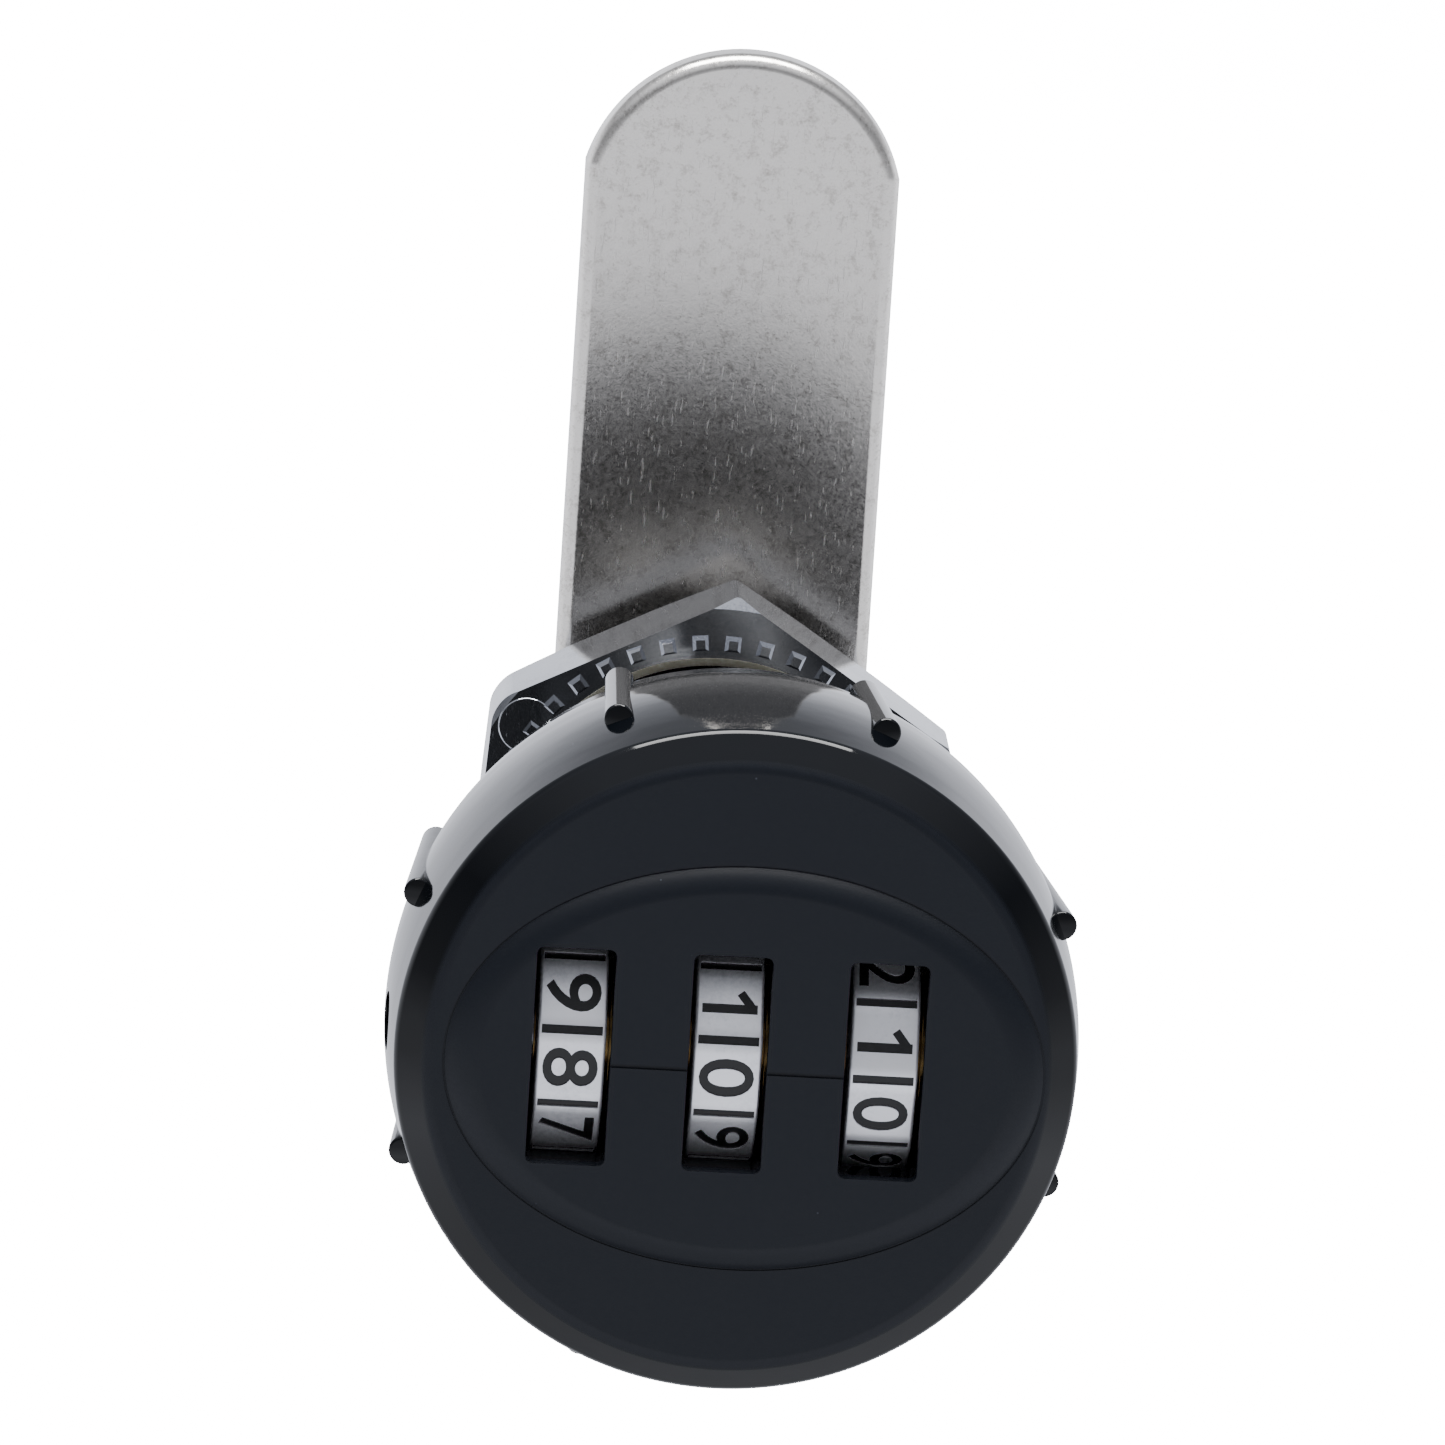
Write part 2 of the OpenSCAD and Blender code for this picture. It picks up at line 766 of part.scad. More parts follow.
module cam_bolt() {
    color("#a3a6aa")
    union() {
        rod_y(bolt_r, square_end_y - bolt_depth + 0.5, bolt_head_y + cut);
        intersection() {
            translate([0, bolt_head_y + bolt_head_t, 0])
                rotate([90, 0, 0])
                    cylinder(r = bolt_head_flats / sqrt(3), h = bolt_head_t, $fn = 6);
            turned([[0, bolt_head_y], [bolt_head_flats / 2 + 0.6, bolt_head_y],
                [bolt_head_flats / 2 + 0.6, bolt_head_y + bolt_head_t - 0.4],
                [bolt_head_flats / 2 - 0.1, bolt_head_y + bolt_head_t], [0, bolt_head_y + bolt_head_t]]);
        }
    }
}

knob_cover();
dial_carrier();
back_plate();
cover_screws();
dial_ring(0);  // dial_ring_1
dial_ring(1);  // dial_ring_2
dial_ring(2);  // dial_ring_3
gate_sleeve(0);  // gate_sleeve_1
gate_sleeve(1);  // gate_sleeve_2
gate_sleeve(2);  // gate_sleeve_3
dial_shaft();
shaft_clips();
reset_spring();
detent_spring();
detent_rivets();
locking_bar();
bar_springs();
spindle();
thrust_washer();
barrel();
mounting_nut();
stop_washer();
cam();
spring_washer();
cam_bolt();
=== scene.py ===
# %% [markdown]
# # A keyless cam lock with three number dials
# The lock is a black cast knob that holds three chrome number rings. Behind the panel it has a threaded
# barrel, a hex nut with a toothed face, and a flat latch plate, the cam. The CAD model settles every place
# and size. This file gives the lock its surfaces: rounded edges, engraved digits, a real thread and finishes.

# %% Load the frame
import math

import bmesh
import bpy
from mathutils import Matrix, Vector


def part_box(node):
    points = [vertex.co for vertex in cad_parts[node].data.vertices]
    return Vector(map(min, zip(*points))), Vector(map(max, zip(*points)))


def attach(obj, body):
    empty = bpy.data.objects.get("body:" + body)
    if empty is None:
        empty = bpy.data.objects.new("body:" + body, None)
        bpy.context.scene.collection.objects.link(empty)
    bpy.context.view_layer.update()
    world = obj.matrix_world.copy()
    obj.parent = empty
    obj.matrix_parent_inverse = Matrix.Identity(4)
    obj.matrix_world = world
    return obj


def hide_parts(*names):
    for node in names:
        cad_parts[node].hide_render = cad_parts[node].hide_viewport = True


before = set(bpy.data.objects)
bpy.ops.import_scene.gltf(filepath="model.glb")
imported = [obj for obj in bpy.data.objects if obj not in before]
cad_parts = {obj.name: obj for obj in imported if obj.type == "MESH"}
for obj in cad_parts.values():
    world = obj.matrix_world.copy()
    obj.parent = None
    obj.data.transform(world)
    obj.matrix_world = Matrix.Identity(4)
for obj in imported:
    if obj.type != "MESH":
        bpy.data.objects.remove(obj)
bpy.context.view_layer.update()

# %% [markdown]
# ## Working in millimetres
# A lock is drawn in millimetres, and Blender counts in metres. Every mesh here is built in millimetres and
# is scaled once, at the end. X points right, Y points back through the panel along the lock's axis and Z
# points up. The corners of a CAD node, read with `span`, give the places that new pieces must meet.

# %% Units and the places read from the CAD model
MM = 0.001


def span(node):
    """Lowest and highest corner of a CAD node, in millimetres."""
    low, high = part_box(node)
    return low / MM, high / MM


cover_low, cover_high = span("knob_cover")
barrel_low, barrel_high = span("barrel")
nut_high = span("mounting_nut")[1]
cam_low, cam_high = span("cam")
plate_low = span("back_plate")[0]
print("cover from", round(cover_low.y, 2), "to", round(cover_high.y, 2))

# %% [markdown]
# ## Shapes from profiles
# Most of a lock is turned or cast round. A profile is a short list of corners, and the vertex bevel rounds
# each one by the length it states. `lathe` spins the profile about the lock's axis. This is how a turner
# reads a drawing, and it keeps every edge soft enough to catch a line of light.


# %% Profile, lathe, rod and slab
def profile(corners, steps=5):
    """A closed wire in the XY plane from (x, y, cut) corners. Cut is how far back a corner is rounded."""
    bm = bmesh.new()
    verts = [bm.verts.new((x, y, 0)) for x, y, cut in corners]
    for ends in zip(verts, verts[1:] + verts[:1]):
        bm.edges.new(ends)
    for vert, (x, y, cut) in zip(verts, corners):
        if cut:
            bmesh.ops.bevel(bm, geom=[vert], offset=cut, affect="VERTICES", segments=steps, profile=0.5,
                            material=-1)
    return bm


def lathe(corners, segments=144, steps=5):
    """A solid of revolution about the Y axis from (radius, y, cut) corners."""
    bm = profile(corners, steps)
    on_axis = [e for e in bm.edges if max(v.co.x for v in e.verts) < 1e-6]
    bmesh.ops.delete(bm, geom=on_axis, context="EDGES")
    bmesh.ops.spin(bm, geom=bm.verts[:] + bm.edges[:], axis=(0, 1, 0), cent=(0, 0, 0), angle=math.tau,
                   steps=segments, use_merge=True)
    bmesh.ops.remove_doubles(bm, verts=bm.verts, dist=1e-5)
    bmesh.ops.recalc_face_normals(bm, faces=bm.faces)
    return bm


ALONG = {"X": Matrix.Rotation(math.radians(90), 4, "Y"), "Y": Matrix.Rotation(math.radians(-90), 4, "X")}


def rod(axis, radius, start, end, end_radius=None, segments=64, at=(0, 0)):
    """A round or many-sided rod along X or Y. At gives its place on the other two axes."""
    bm = bmesh.new()
    bmesh.ops.create_cone(bm, cap_ends=True, segments=segments, radius1=radius, radius2=end_radius or radius,
                          depth=end - start)
    middle = (start + end) / 2
    place = (middle, at[0], at[1]) if axis == "X" else (at[0], middle, at[1])
    bmesh.ops.transform(bm, matrix=Matrix.Translation(place) @ ALONG[axis], verts=bm.verts)
    return bm


def slab(size, centre=(0, 0, 0)):
    """A box of three side lengths about a centre."""
    bm = bmesh.new()
    bmesh.ops.create_cube(bm, size=1)
    bmesh.ops.scale(bm, vec=size, verts=bm.verts)
    bmesh.ops.translate(bm, vec=centre, verts=bm.verts)
    return bm


def shifted(bm, matrix):
    """The same bmesh after a transform."""
    bmesh.ops.transform(bm, matrix=matrix, verts=bm.verts)
    return bm


def together(shapes):
    """Several closed shapes in one bmesh."""
    whole = bmesh.new()
    for shape in shapes:
        mesh = bpy.data.meshes.new("part")
        shape.to_mesh(mesh)
        shape.free()
        whole.from_mesh(mesh)
        bpy.data.meshes.remove(mesh)
    return whole


def soften(bm, width, edges=None, segments=3, angle=25.0):
    """Rounds the edges given, or every edge whose faces meet at more than an angle."""
    sharp = edges or [e for e in bm.edges if e.is_manifold and e.calc_face_angle(0) > math.radians(angle)]
    bmesh.ops.bevel(bm, geom=sharp, offset=width, affect="EDGES", segments=segments, profile=0.5, material=-1,
                    clamp_overlap=True)
    return bm


# %% [markdown]
# ## Cutting and joining
# Windows, bores and engraving are cut as a machinist cuts them, with a tool shape that takes material
# away. Blender's exact boolean does this on closed shapes. `combine` wraps it so that two bmeshes go in and
# one comes out.


# %% Boolean helper
def combine(base, tool, operation):
    """Base joined with, cut by or kept inside a tool: UNION, DIFFERENCE or INTERSECT."""
    pair = []
    for shape in (base, tool):
        mesh = bpy.data.meshes.new("work")
        bmesh.ops.recalc_face_normals(shape, faces=shape.faces)
        shape.to_mesh(mesh)
        shape.free()
        pair.append(bpy.data.objects.new("work", mesh))
        bpy.context.scene.collection.objects.link(pair[-1])
    modifier = pair[0].modifiers.new("boolean", "BOOLEAN")
    modifier.operation = operation
    modifier.object = pair[1]
    modifier.solver = "EXACT"
    bpy.context.view_layer.update()
    result = bmesh.new()
    result.from_object(pair[0], bpy.context.evaluated_depsgraph_get())
    for piece in pair:
        mesh = piece.data
        bpy.data.objects.remove(piece)
        bpy.data.meshes.remove(mesh)
    return result


# %% [markdown]
# ## From a bmesh to a piece of the lock
# `finished` scales a shape to metres, shades it smooth apart from its true corners and lets it ride on the
# CAD body that it belongs to. Weighted normals keep flat faces flat next to small rounded edges.


# %% Finished pieces
def finished(name, bm, finish, body, stands_for=(), smooth=30.0):
    """Turns a bmesh in millimetres into a piece that rides on a CAD body."""
    bmesh.ops.remove_doubles(bm, verts=bm.verts, dist=1e-4)
    bmesh.ops.scale(bm, vec=(MM, MM, MM), verts=bm.verts)
    mesh = bpy.data.meshes.new(name)
    bm.to_mesh(mesh)
    bm.free()
    mesh.shade_smooth()
    mesh.set_sharp_from_angle(angle=math.radians(smooth))
    mesh.materials.append(finish)
    piece = bpy.data.objects.new(name, mesh)
    bpy.context.scene.collection.objects.link(piece)
    piece.modifiers.new("weighted_normals", "WEIGHTED_NORMAL").keep_sharp = True
    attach(piece, body)
    if stands_for:
        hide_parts(*stands_for)
    print(name, len(mesh.polygons), "faces")
    return piece


# %% [markdown]
# ## Finishes as node trees
# Every finish starts from a Principled shader. `add` places one node with its settings and its links, so
# that a recipe reads from top to bottom. Colours are hex values, as on a paint card, and `linear` turns them
# to the light values that a shader needs. `per` turns a real size in millimetres to the scale of a texture
# on Object coordinates, which are in metres.


# %% Material helpers
def linear(code):
    """A linear RGBA colour from an sRGB hex code."""
    parts = [int(code[i:i + 2], 16) / 255 for i in (1, 3, 5)]
    return [p / 12.92 if p <= 0.04045 else ((p + 0.055) / 1.055) ** 2.4 for p in parts] + [1]


def per(size_mm):
    """Texture scale that repeats about once in a length in millimetres."""
    return 1 / (size_mm * MM)


def add(tree, kind, feeds=None, stops=None, sockets=None, **properties):
    """Adds a node: what feeds its sockets, its ramp's stops, its sockets' values and its properties."""
    node = tree.nodes.new(kind)
    for key, value in properties.items():
        setattr(node, key, value)
    for key, value in (sockets or {}).items():
        node.inputs[key].default_value = value
    for key, source in (feeds or {}).items():
        tree.links.new(source, node.inputs[key])
    if stops:
        band = node.color_ramp
        while len(band.elements) < len(stops):
            band.elements.new(0.5)
        for element, (position, tone) in zip(band.elements, stops):
            element.position = position
            element.color = linear(tone) if isinstance(tone, str) else (tone, tone, tone, 1)
    return node.outputs[2] if kind == "ShaderNodeMix" and node.data_type == "RGBA" else node.outputs[0]


def new_finish(name):
    """A new material: itself, its tree, its Principled shader and its object coordinates."""
    material = bpy.data.materials.new(name)
    material.use_nodes = True
    tree = material.node_tree
    where = tree.nodes.new("ShaderNodeTexCoord").outputs["Object"]
    return material, tree, tree.nodes["Principled BSDF"], where


# %% [markdown]
# ## Black stoving lacquer
# The cover is cast zinc, sprayed black and baked. Its side wall and bevel are glossy. The front face and the
# pad are satin, and the gloss changes with the depth along Y. Sprayed lacquer is never quite flat, so a slow
# and shallow bump bends the reflections. A finer grain dulls the face, and a few dust specks sit in it.


# %% Black lacquer
def black_lacquer(face_y):
    material, tree, shader, where = new_finish("black_stoving_lacquer")
    depth = add(tree, "ShaderNodeSeparateXYZ", {"Vector": where}).node.outputs["Y"]
    gloss = add(tree, "ShaderNodeMapRange", {"Value": depth},
                sockets={"From Min": (face_y + 0.10) * MM, "From Max": (face_y + 0.26) * MM})
    slow = add(tree, "ShaderNodeTexNoise", {"Vector": where}, sockets={"Scale": per(2.4), "Detail": 2.0})
    grain = add(tree, "ShaderNodeTexNoise", {"Vector": where}, sockets={"Scale": per(0.3), "Detail": 3.0})
    wiped = add(tree, "ShaderNodeMapping", {"Vector": where}, sockets={"Scale": (0.12, 1.0, 0.3)})
    smear = add(tree, "ShaderNodeTexNoise", {"Vector": wiped}, sockets={"Scale": per(0.8), "Detail": 5.0})
    satin = add(tree, "ShaderNodeMapRange", {"Value": grain}, sockets={"To Min": 0.40, "To Max": 0.52})
    shiny = add(tree, "ShaderNodeMapRange", {"Value": smear}, sockets={"From Min": 0.35, "From Max": 0.7,
                                                                      "To Min": 0.04, "To Max": 0.1})
    rough = add(tree, "ShaderNodeMix", {0: gloss, 2: satin, 3: shiny})
    tone = add(tree, "ShaderNodeMix", {0: gloss}, sockets={6: linear("#0a0f18"), 7: linear("#06080c")},
               data_type="RGBA")
    cells = add(tree, "ShaderNodeTexVoronoi", {"Vector": where}, sockets={"Scale": per(2.3)})
    dust = add(tree, "ShaderNodeValToRGB", {"Fac": cells}, stops=[(0.010, 1.0), (0.026, 0.0)])
    specked = add(tree, "ShaderNodeMix", {0: dust, 6: tone}, sockets={7: linear("#3c4048")},
                  data_type="RGBA")
    wave = add(tree, "ShaderNodeBump", {"Height": slow}, sockets={"Strength": 0.5, "Distance": 0.02 * MM})
    texture = add(tree, "ShaderNodeMapRange", {"Value": gloss}, sockets={"To Min": 0.4, "To Max": 0.05})
    skin = add(tree, "ShaderNodeBump", {"Height": grain, "Normal": wave, "Strength": texture},
               sockets={"Distance": 0.003 * MM})
    tree.links.new(specked, shader.inputs["Base Color"])
    tree.links.new(rough, shader.inputs["Roughness"])
    tree.links.new(skin, shader.inputs["Normal"])
    shader.inputs["Specular IOR Level"].default_value = 0.27
    return material


# %% [markdown]
# ## Plated and bare metals
# Chrome, zinc, nickel and steel differ in colour, in how sharply they mirror and in what has marked them.
# One recipe holds what they share: slow blotches in the tone, a fine grain, and short scratches made from a
# stretched noise. Each metal then states its own values. The grain of the smallest parts is drawn a little
# coarser than life, so that it still shows.


# %% Metal recipe
def metal(name, bright, dull, rough, spread=0.06, grain_mm=0.14, grain_depth=0.002, scratch_mm=0.09,
          scratch_length=16.0, scratch_turn=30.0, scratch_depth=0.002, blotch_mm=3.0):
    material, tree, shader, where = new_finish(name)
    shader.inputs["Metallic"].default_value = 1.0
    blotch = add(tree, "ShaderNodeTexNoise", {"Vector": where},
                 sockets={"Scale": per(blotch_mm), "Detail": 4.0})
    grain = add(tree, "ShaderNodeTexNoise", {"Vector": where}, sockets={"Scale": per(grain_mm), "Detail": 3.0,
                                                                       "Roughness": 0.7})
    turned = add(tree, "ShaderNodeMapping", {"Vector": where},
                 sockets={"Rotation": (0, math.radians(scratch_turn), 0),
                          "Scale": (1, 1, 1 / scratch_length)})
    streak = add(tree, "ShaderNodeTexNoise", {"Vector": turned},
                 sockets={"Scale": per(scratch_mm), "Detail": 2.0})
    scratch = add(tree, "ShaderNodeValToRGB", {"Fac": streak}, stops=[(0.64, 0.0), (0.74, 1.0)])
    mixed = add(tree, "ShaderNodeMath", {0: blotch, 1: grain}, operation="ADD")
    tone = add(tree, "ShaderNodeValToRGB", {"Fac": mixed}, stops=[(0.62, dull), (1.0, bright)])
    marked = add(tree, "ShaderNodeMath", {0: grain, 1: scratch}, operation="ADD")
    gloss = add(tree, "ShaderNodeMapRange", {"Value": marked}, sockets={
        "From Min": 0.3, "From Max": 1.2, "To Min": rough - spread / 2, "To Max": rough + spread})
    skin = add(tree, "ShaderNodeBump", {"Height": grain},
               sockets={"Strength": 0.6, "Distance": grain_depth * MM})
    lines = add(tree, "ShaderNodeBump", {"Height": scratch, "Normal": skin},
                sockets={"Strength": 0.6, "Distance": scratch_depth * MM})
    tree.links.new(tone, shader.inputs["Base Color"])
    tree.links.new(gloss, shader.inputs["Roughness"])
    tree.links.new(lines, shader.inputs["Normal"])
    return material


# %% The metals of this lock
# Decorative chrome on zinc: pale, and hazy enough to scatter a little light, because the casting under it
# isn't polished.
dial_chrome = metal("bright_chrome_on_zinc", "#f1f1f3", "#dddee1", 0.42, 0.06, grain_mm=0.25,
                    grain_depth=0.0015, scratch_depth=0.001)
dial_chrome.node_tree.nodes["Principled BSDF"].inputs["Metallic"].default_value = 0.62
# Bright zinc: a cool mirror with handling scratches in every direction.
nut_zinc = metal("bright_zinc_plate", "#b9bbbf", "#979aa1", 0.10, 0.06, scratch_mm=0.08, scratch_length=12.0,
                 scratch_turn=35.0)
# Satin nickel on rolled strip: a soft blurred mirror with a speckled grain.
cam_nickel = metal("satin_nickel_on_strip", "#efebe4", "#bdb8b0", 0.22, 0.10, grain_mm=0.17,
                   grain_depth=0.006, scratch_mm=0.12, scratch_length=9.0, scratch_turn=28.0,
                   blotch_mm=0.7)
# Zinc-plated steel: a dull grey sheen on washers and screws.
washer_steel = metal("zinc_plated_steel", "#b4b7bb", "#8d9095", 0.27)
# Nickel-plated steel of the bolt and spindle: brighter and smoother than zinc.
bolt_nickel = metal("nickel_plated_steel", "#c2c1bf", "#9a9997", 0.2)
# Spring steel: dark and slightly oily.
spring_steel = metal("oiled_spring_steel", "#8f9296", "#6c6f74", 0.28)
# Ground steel: fine lines from the grinding wheel.
ground_steel = metal("ground_steel", "#b4b6b9", "#8f9296", 0.22, scratch_turn=90.0)
# Cast zinc as it leaves the mould: grey and matt.
cast_zinc = metal("raw_cast_zinc", "#8c8e92", "#6b6d71", 0.45, 0.1, grain_mm=0.3, grain_depth=0.008)
# Turned brass: warm and smooth.
turned_brass = metal("turned_brass", "#a68a58", "#6e5633", 0.34)

# %% [markdown]
# ## Paint and nylon
# A pale cream film in the chamfer of the nut is painted highlight: it stands in for the bright ring of
# light at the bore. The digits are engraved and filled with black enamel, which lies a little below the
# chrome. The barrel has the cover's black lacquer in a plain satin coat. That black is partly its own colour
# and partly painted shade for the shadow behind the knob. The thrust washer is natural nylon, which lets in a
# little light.


# %% Painted chamfer highlight, enamel, barrel coat with painted shade, and nylon
def coated(name, tone, patch_tone, rough, patch_mm, depth):
    material, tree, shader, where = new_finish(name)
    patch = add(tree, "ShaderNodeTexNoise", {"Vector": where},
                sockets={"Scale": per(patch_mm), "Detail": 4.0})
    colour = add(tree, "ShaderNodeValToRGB", {"Fac": patch}, stops=[(0.4, tone), (0.75, patch_tone)])
    level = add(tree, "ShaderNodeMapRange", {"Value": patch}, sockets={"To Min": rough - 0.08,
                                                                     "To Max": rough + 0.1})
    skin = add(tree, "ShaderNodeBump", {"Height": patch}, sockets={"Strength": 0.6, "Distance": depth * MM})
    tree.links.new(colour, shader.inputs["Base Color"])
    tree.links.new(level, shader.inputs["Roughness"])
    tree.links.new(skin, shader.inputs["Normal"])
    return material


# Painted highlight: a pale diffuse film that stands in for the bright ring of light in the nut's bore
# chamfer.
painted_chamfer_highlight = coated("painted_chamfer_highlight", "#d9d5bd", "#f1eedb", 0.35, 0.4, 0.003)
digit_enamel = coated("black_fill_enamel", "#060607", "#111112", 0.5, 0.25, 0.004)
# Black coat of the barrel: partly its own satin lacquer, partly painted shade for the shadow behind the knob.
barrel_black_with_painted_shade = coated("satin_black_lacquer_and_painted_shade", "#0b0c0e", "#1b1c1f", 0.34, 0.5, 0.004)
nylon = coated("natural_nylon", "#dedbd0", "#cfccc0", 0.45, 0.6, 0.004)
nylon.node_tree.nodes["Principled BSDF"].inputs["Subsurface Weight"].default_value = 0.1

# %% [markdown]
# ## Camera
# A long lens a little above the lock keeps the round knob almost round and lets the nut and the cam show
# behind it. The camera leans three and a half degrees, as a hand-held one does.

# %% Camera
camera_data = bpy.data.cameras.new("camera")
camera_data.lens = 319.36
camera_data.sensor_width = 36
camera = bpy.data.objects.new("camera", camera_data)
camera.location = Vector((-31.084, -595.647, 155.266)) * MM
camera.rotation_euler = [math.radians(a) for a in (76.491, -3.597, -2.047)]
bpy.context.scene.collection.objects.link(camera)
bpy.context.scene.camera = camera

# %% [markdown]
# ## Floor and light
# Black lacquer and bright metal show mostly what is around them, so the surroundings are their colour. The
# lock lies over a table of lit acrylic, which burns out to white. The table itself is kept out of the
# reflections. They come from a studio drawn on the sky by height and direction: pale behind, for the side
# wall of the knob, and dimmer in front, so that the face stays black. A soft box hangs overhead.


# %% Floor, sky and soft boxes
TABLE_Z, TABLE_GLOW, SKY_STRENGTH = -60, 16, 5.0


def soft_box(name, place_mm, aim_mm, size_mm, radiance):
    """A rectangular lamp of a stated brightness, aimed at a point."""
    light = bpy.data.lights.new(name, "AREA")
    light.shape = "RECTANGLE"
    light.size, light.size_y = size_mm[0] * MM, size_mm[1] * MM
    light.energy = radiance * math.pi * light.size * light.size_y
    box = bpy.data.objects.new(name, light)
    box.location = Vector(place_mm) * MM
    box.rotation_euler = (Vector(aim_mm) - Vector(place_mm)).to_track_quat("-Z", "Y").to_euler()
    bpy.context.scene.collection.objects.link(box)
    print(name, round(light.energy, 1), "W")


table, tree, shader, where = new_finish("lit_white_acrylic")
mottle = add(tree, "ShaderNodeTexNoise", {"Vector": where}, sockets={"Scale": per(40)})
milky = add(tree, "ShaderNodeValToRGB", {"Fac": mottle}, stops=[(0.3, "#f9f9fa"), (0.7, "#fdfdfd")])
tree.links.new(milky, shader.inputs["Base Color"])
tree.links.new(milky, shader.inputs["Emission Color"])
shader.inputs["Emission Strength"].default_value = TABLE_GLOW
shader.inputs["Roughness"].default_value = 0.9
floor_shape = bmesh.new()
bmesh.ops.create_grid(floor_shape, x_segments=1, y_segments=1, size=3.0)
bmesh.ops.translate(floor_shape, vec=(0, 0, TABLE_Z * MM), verts=floor_shape.verts)
floor_mesh = bpy.data.meshes.new("floor")
floor_shape.to_mesh(floor_mesh)
floor_shape.free()
floor_mesh.materials.append(table)
floor = bpy.data.objects.new("floor", floor_mesh)
floor.visible_glossy = False
floor.visible_diffuse = False
bpy.context.scene.collection.objects.link(floor)

sky = bpy.data.worlds.new("sky")
bpy.context.scene.world = sky
sky.use_nodes = True
tree = sky.node_tree
heading = tree.nodes.new("ShaderNodeTexCoord").outputs["Generated"]
parts = add(tree, "ShaderNodeSeparateXYZ", {"Vector": heading}).node
rise = add(tree, "ShaderNodeMapRange", {"Value": parts.outputs["Z"]}, sockets={"From Min": -1.0})
front = add(tree, "ShaderNodeValToRGB", {"Fac": rise}, stops=[
    (0.0, 0.16), (0.1, 0.22), (0.26, 0.42), (0.37, 0.24), (0.42, 0.23), (0.50, 0.10), (0.67, 0.05),
    (0.88, 0.22)])
back = add(tree, "ShaderNodeValToRGB", {"Fac": rise}, stops=[
    (0.0, 0.3), (0.38, 0.30), (0.50, 0.36), (0.57, 0.34), (0.62, 0.24), (0.70, 0.10), (0.85, 0.1),
    (1.0, 0.2)])
side = add(tree, "ShaderNodeMapRange", {"Value": parts.outputs["Y"]},
           sockets={"From Min": -0.3, "From Max": 0.3})
around = add(tree, "ShaderNodeMix", {0: side, 6: front, 7: back}, data_type="RGBA")
tinted = add(tree, "ShaderNodeMix", {6: around}, sockets={0: 1.0, 7: linear("#f2f5ff")}, data_type="RGBA",
             blend_type="MULTIPLY")
tree.links.new(tinted, tree.nodes["Background"].inputs["Color"])
tree.nodes["Background"].inputs["Strength"].default_value = SKY_STRENGTH
soft_box("overhead_box", (0, 40, 420), (0, 20, 0), (360, 220), 20)

# %% [markdown]
# ## Knob cover
# The cover is one casting: a cup with a bevelled front and a side wall that swells a little, a low oval pad,
# three windows and eight ribs. It starts as a lathed cup. The pad is a lathed disc squeezed to an oval, with
# a thin groove at its foot. Ribs are short pins laid along the wall. Windows, index grooves and the reset
# hole are cut last.

# %% Cover sizes
BEVEL_WIDTH, BEVEL_DEPTH, PAD_RISE = 1.5, 1.2, 0.6
SIDE_WALL, FRONT_WALL, DRAFT = 1.6, 1.7, 0.88
KNOB_R, BELLY = 16.0, 0.45
RIM_R = KNOB_R - DRAFT
RIM_Y = cover_high.y
PAD_Y = cover_low.y
FACE_Y = PAD_Y + PAD_RISE
EDGE_Y = FACE_Y + BEVEL_DEPTH
HEAD_DEPTH = RIM_Y - EDGE_Y
INSIDE_Y = FACE_Y + FRONT_WALL
PAD_W, PAD_H, PAD_SHIFT, PAD_SLOPE = 28.0, 19.4, 0.35, 0.9
WINDOW_W, WINDOW_H, WINDOW_LIFT, WINDOW_CORNER = 3.72, 10.46, 0.33, 0.35
DIAL_X = [sum(corner.x for corner in span(f"dial_ring_{i}")) / 2 for i in (1, 2, 3)]
AXIS_Y = sum(corner.y for corner in span("dial_shaft")) / 2
RIB_R, RIB_LENGTH, RIB_COUNT, RIB_REAR_R = 0.7, 12.0, 8, RIM_R + 0.2
RESET_HOLE_R = 1.4
INDEX_H, INDEX_DEPTH = 0.2, 0.12
BOSS_R, BOSS_RING_R, PILOT_R, PILOT_DEPTH = 1.7, 11.9, 0.8, 7.0
BOSS_ANGLES = (60, 120, 240, 300)
print("dials at", [round(x, 2) for x in DIAL_X], "axis depth", round(AXIS_Y, 2))


# %% Cup and pad
def cover_cup():
    return lathe([(0, FACE_Y, 0), (KNOB_R - BEVEL_WIDTH, FACE_Y, 0.35), (KNOB_R, EDGE_Y, 0.25),
                  (KNOB_R + 0.7 * BELLY, EDGE_Y + 0.2 * HEAD_DEPTH, 1.4),
                  (KNOB_R + BELLY, EDGE_Y + 0.42 * HEAD_DEPTH, 1.6),
                  (KNOB_R + 0.3 * BELLY, EDGE_Y + 0.67 * HEAD_DEPTH, 1.3),
                  (RIM_R + BELLY, EDGE_Y + 0.85 * HEAD_DEPTH, 1.0), (RIM_R, RIM_Y, 0.3),
                  (RIM_R - SIDE_WALL, RIM_Y, 0.15), (KNOB_R - SIDE_WALL, INSIDE_Y, 0.4), (0, INSIDE_Y, 0)],
                 segments=192, steps=6)


def oval(corners):
    """A lathed shape squeezed to the pad's outline."""
    bm = lathe(corners, segments=192, steps=8)
    bmesh.ops.scale(bm, vec=(1, 1, PAD_H / PAD_W), verts=bm.verts)
    bmesh.ops.translate(bm, vec=(PAD_SHIFT, 0, 0), verts=bm.verts)
    return bm


def cover_pad():
    half = PAD_W / 2
    return oval([(0, PAD_Y, 0), (half - PAD_SLOPE, PAD_Y, 0.8), (half, FACE_Y, 0), (half, FACE_Y + 0.3, 0),
                 (0, FACE_Y + 0.3, 0)])


def pad_groove():
    half = PAD_W / 2
    return oval([(half - 0.02, PAD_Y - 1, 0), (half + 0.17, PAD_Y - 1, 0), (half + 0.12, FACE_Y + 0.07, 0),
                 (half + 0.02, FACE_Y + 0.07, 0)])


